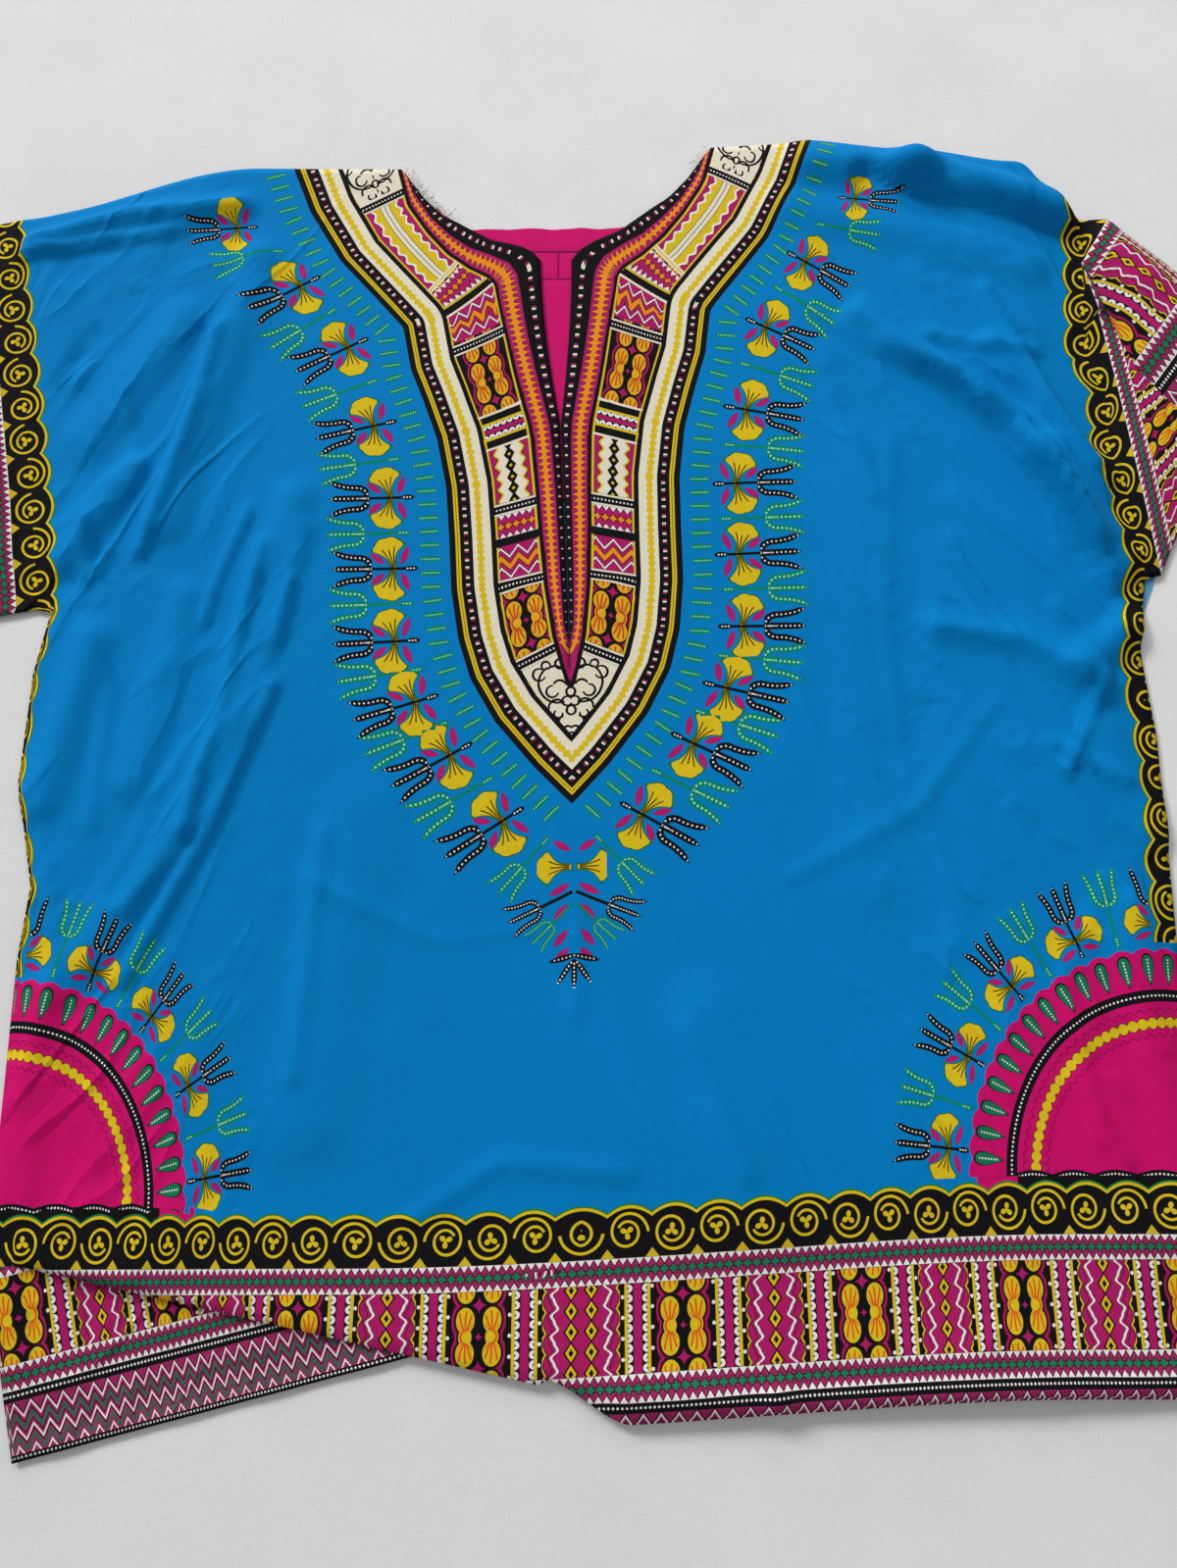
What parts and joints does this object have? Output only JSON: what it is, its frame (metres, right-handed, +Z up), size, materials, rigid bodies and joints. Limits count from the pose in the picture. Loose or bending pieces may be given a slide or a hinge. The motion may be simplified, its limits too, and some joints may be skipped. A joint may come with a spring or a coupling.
{
  "type": "dashiki shirt laid flat",
  "caption": "Loose printed cotton pullover laid flat on its back, front up, with a slit neck, short sleeves cut in one with the body, a folded-up hem corner and a bunched sleeve.",
  "frame": {"origin": "middle of the whole shirt's box, on the surface that it lies on", "axes": "+X from the viewer's left sleeve to the right one, +Y from the hem to the neck, +Z up off the surface"},
  "size_m": [0.9641, 0.8404, 0.0249],
  "materials": {
    "printed_cotton": "matt",
    "magenta_cotton": "matt"
  },
  "bodies": {
    "root": {"front_panel": "printed_cotton", "back_panel": "printed_cotton", "neck_facing": "magenta_cotton"}
  },
  "joints": []
}
